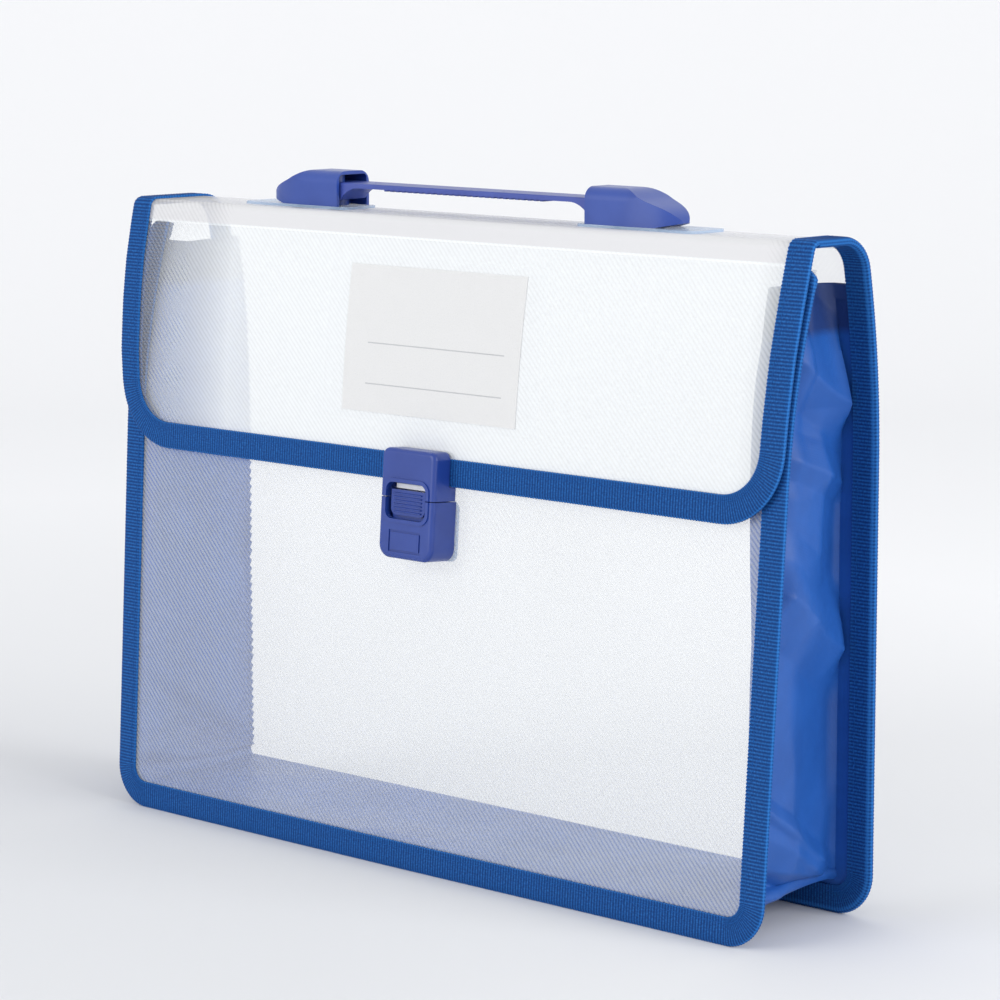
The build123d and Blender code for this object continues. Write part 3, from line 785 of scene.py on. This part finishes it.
feed(tree, shader.inputs["Base Color"], tinted(tree, drawn, paper, (0.47, 0.475, 0.49, 1)))
bump_from(tree, shader, fibre, 0.2, 0.00005)
label_card = piece("ruled_label", bm, card_finish)
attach(label_card, "lid")
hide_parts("label_card")

FILM = (0.107, 0.060)
FILM_LOW = 0.1635
FILM_FACES = (0.00036, 0.00050)
FILM_SINK = 0.00032
WELD = 0.001
film_top = on_flap(FILM_LOW + FILM[1])
film_foot = on_flap(FILM_LOW)
film_rows = label_rows + [film_foot - 1.5 * WELD]
bm = plate((-FILM[0] / 2, FILM[0] / 2), (film_top, film_foot), FILM_FACES, film_rows)
for vert in bm.verts:
    edge = min(FILM[0] / 2 - abs(vert.co.x), film_foot - vert.co.y)
    if edge < WELD:
        vert.co.z -= FILM_SINK
keep_flat_place(bm)
lay(bm, COVER, warp_cover)
film_finish, tree, shader = finish_named(
    "clear_film", Base_Color=(0.97, 0.98, 1.0, 1), Roughness=0.3, IOR=1.2, Alpha=0.03
)
place = own_map(tree, "flat")
ripple = add_node(tree, "ShaderNodeTexNoise", Vector=place, Scale=60.0, Detail=1.0)
bump_from(tree, shader, ripple.outputs["Fac"], 0.2, 0.0004)
label_film = piece("label_film", bm, film_finish)
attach(label_film, "lid")
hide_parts("label_pocket")

# Lock: moulded in blue plastic, a body riveted to the front panel, a hasp to the flap, and a ribbed press
# pad in the window that they share. Behind each is a clear plate that spreads the rivets' pull, and behind
# the pad a steel leaf that pushes it out again.
GRAIN = 0.00002


def moulded(name, low, high, roughness, alpha=1.0):
    """Moulded plastic: a fine eroded grain, with slight flow marks in its colour."""
    material, tree, shader = finish_named(
        name, Roughness=roughness, IOR=1.5, Alpha=alpha, Coat_Weight=0.15, Coat_Roughness=0.25
    )
    place = add_node(tree, "ShaderNodeTexCoord").outputs["Object"]
    flow = add_node(tree, "ShaderNodeTexNoise", Vector=place, Scale=70.0, Detail=3.0, Roughness=0.55)
    grain = add_node(tree, "ShaderNodeTexNoise", Vector=place, Scale=3200.0, Detail=1.0)
    feed(tree, shader.inputs["Base Color"], ramped(tree, flow.outputs["Fac"], (0.3, low), (0.7, high)))
    bump_from(tree, shader, grain.outputs["Fac"], 0.4, GRAIN)
    return material


def dress(material, *names):
    """Gives CAD nodes their finish."""
    for name in names:
        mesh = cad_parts[name].data
        mesh.materials.clear()
        mesh.materials.append(material)


lock_plastic = moulded("lock_plastic", (0.012, 0.042, 0.255), (0.019, 0.056, 0.305), 0.34)
clear_plate = moulded("clear_plate", (0.40, 0.55, 0.78), (0.48, 0.63, 0.84), 0.2, alpha=0.55)
milky_plate = moulded("milky_plate", (0.90, 0.91, 0.93), (0.94, 0.95, 0.96), 0.3)
rivet_plastic = moulded("rivet_plastic", (0.72, 0.75, 0.80), (0.78, 0.81, 0.85), 0.35)
spring_steel, tree, shader = finish_named(
    "spring_steel", Base_Color=(0.55, 0.56, 0.58, 1), Metallic=1.0, Roughness=0.3
)
place = add_node(tree, "ShaderNodeTexCoord").outputs["Object"]
stretch = add_node(tree, "ShaderNodeMapping", Vector=place, Scale=(200, 4000, 4000))
brushed = add_node(tree, "ShaderNodeTexNoise", Vector=stretch.outputs["Vector"], Scale=1.0, Detail=2.0)
bump_from(tree, shader, brushed.outputs["Fac"], 0.3, 0.00003)
dress(lock_plastic, "latch_body", "latch_hasp", "latch_button")
dress(milky_plate, "hasp_backplate")
dress(clear_plate, "latch_backplate")
dress(rivet_plastic, "latch_rivets", "hasp_rivets")
dress(spring_steel, "latch_spring")

# Handle: two noses moulded in blue plastic stand on clear plates and are riveted through the band. A springy
# blade of a paler blue slides in them at both ends.
handle_plastic = moulded("handle_plastic", (0.018, 0.056, 0.300), (0.027, 0.072, 0.350), 0.34)
strap_plastic = moulded("strap_plastic", (0.034, 0.062, 0.310), (0.044, 0.078, 0.360), 0.42)
dress(handle_plastic, "handle_mount_left", "handle_mount_right")
dress(strap_plastic, "handle_strap")
dress(clear_plate, "handle_base_left", "handle_base_right")
dress(rivet_plastic, "handle_rivets")

# Setting: a pale table that sweeps up into the wall behind. It is squared to the camera and is lit by a pale
# sky and two large soft boxes. Its colour is painted paler towards the wall and towards the right: painted
# light, in place of a lamp on the wall and more light from the right.
TABLE_HALF = 4
WALL = 2.2
WALL_TOP = (0, 0.3, 4)
SWEEP = 0.9
CAMERA_TURN = 0.7532
bm = bmesh.new()
bmesh.ops.create_grid(bm, x_segments=1, y_segments=1, size=TABLE_HALF)
far = [edge for edge in bm.edges if all(v.co.y > 0 for v in edge.verts)]
for vert in far[0].verts:
    vert.co.y = WALL
risen = bmesh.ops.extrude_edge_only(bm, edges=far)
lifted = [g for g in risen["geom"] if isinstance(g, bmesh.types.BMVert)]
bmesh.ops.translate(bm, verts=lifted, vec=WALL_TOP)
sweep_edge = [e for e in bm.edges if all(abs(v.co.y - WALL) < 0.01 and v.co.z < 0.01 for v in e.verts)]
bmesh.ops.bevel(bm, geom=sweep_edge, offset=SWEEP, segments=24, profile=0.5, affect="EDGES", material=-1)
bmesh.ops.rotate(bm, verts=bm.verts, cent=(0, 0, 0), matrix=Matrix.Rotation(CAMERA_TURN, 3, "Z"))
table_finish, tree, shader = finish_named("pale_table", Roughness=0.8)
place = add_node(tree, "ShaderNodeTexCoord").outputs["Object"]
square = add_node(tree, "ShaderNodeMapping", Vector=place, Rotation=(0, 0, -CAMERA_TURN))
split = add_node(tree, "ShaderNodeSeparateXYZ", Vector=square.outputs["Vector"])
# Painted light: the colour pales towards the wall and towards the right.
to_wall = ranged(tree, split.outputs["Y"], From_Min=0.05, From_Max=0.9)
to_right = ranged(tree, split.outputs["X"], From_Min=-0.05, From_Max=0.35, To_Max=0.5)
painted_light = reckon(tree, "ADD", to_wall, to_right, clamp=True)
shade = tinted(tree, painted_light, (0.735, 0.745, 0.765, 1), (0.955, 0.960, 0.975, 1))
feed(tree, shader.inputs["Base Color"], shade)
floor = piece("floor", bm, table_finish)

world = bpy.data.worlds.new("studio")
bpy.context.scene.world = world
world.use_nodes = True
world.node_tree.nodes["Background"].inputs["Color"].default_value = (0.985, 0.99, 1.0, 1)
world.node_tree.nodes["Background"].inputs["Strength"].default_value = 0.775


def soft_box(name, place, aim, size, power):
    """A square soft box that faces a point."""
    lamp = bpy.data.lights.new(name, "AREA")
    lamp.shape = "SQUARE"
    lamp.size = size
    lamp.energy = power
    made = bpy.data.objects.new(name, lamp)
    bpy.context.scene.collection.objects.link(made)
    made.location = place
    made.rotation_euler = (Vector(aim) - Vector(place)).to_track_quat("-Z", "Y").to_euler()


soft_box("left_front", place=(-0.6, -1.9, 0.8), aim=(0, 0, 0.12), size=1.4, power=17)
soft_box("right", place=(1.9, 0.2, 0.8), aim=(0.25, 0.0, 0.02), size=1.2, power=21)

# Camera: the photograph's place, a little above the case and to the right of its front, through a long lens.
# Place and lens were fitted to the case's edges.
CAMERA_DIP = 0.149
camera = bpy.data.cameras.new("camera")
camera.lens = 133.28
camera.sensor_width = 36
viewpoint = bpy.data.objects.new("camera", camera)
bpy.context.scene.collection.objects.link(viewpoint)
viewpoint.location = (0.9278, -0.97135, 0.3361)
viewpoint.rotation_euler = (pi / 2 - CAMERA_DIP, 0, CAMERA_TURN)
bpy.context.scene.camera = viewpoint
bpy.context.scene.view_settings.view_transform = "Standard"
bpy.context.scene.cycles.transparent_max_bounces = 32
